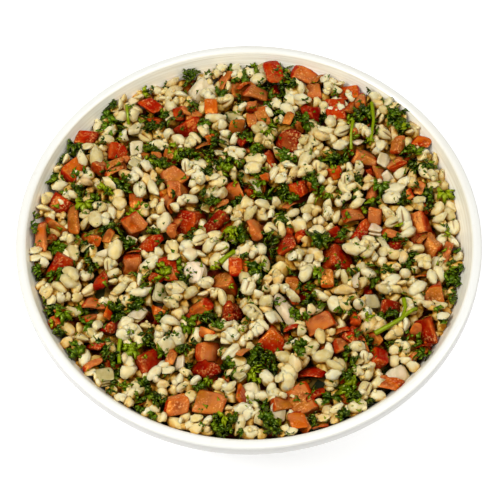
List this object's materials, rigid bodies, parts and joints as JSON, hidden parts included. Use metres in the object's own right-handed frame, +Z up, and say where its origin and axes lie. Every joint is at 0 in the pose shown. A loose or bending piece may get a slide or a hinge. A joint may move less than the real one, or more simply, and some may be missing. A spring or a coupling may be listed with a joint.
{
  "type": "bowl of tabbouleh salad",
  "caption": "Round white bowl with a rolled lip, filled with a low mound of tabbouleh: cooked barley, diced tomato, onion and chopped parsley.",
  "frame": {"origin": "centre of the foot ring's underside, on the bowl's axis, on the table", "axes": "+Z up along the bowl's axis; X and Y lie on the table, and the usual camera looks along +Y and down"},
  "size_m": [0.186, 0.186, 0.0631],
  "materials": {
    "white_glaze": "satin off-white glaze with fine turned rings on the inner wall",
    "tabbouleh": "moist mixed salad seen in the gaps between its pieces",
    "barley": "moist, plump, slightly translucent cooked grain",
    "tomato": "wet cut flesh with glossy skin on one side",
    "onion": "wet translucent white",
    "parsley": "wet dark green leaf with lighter ribs"
  },
  "bodies": {
    "root": {"bowl": "white_glaze", "salad": "tabbouleh"}
  },
  "joints": []
}
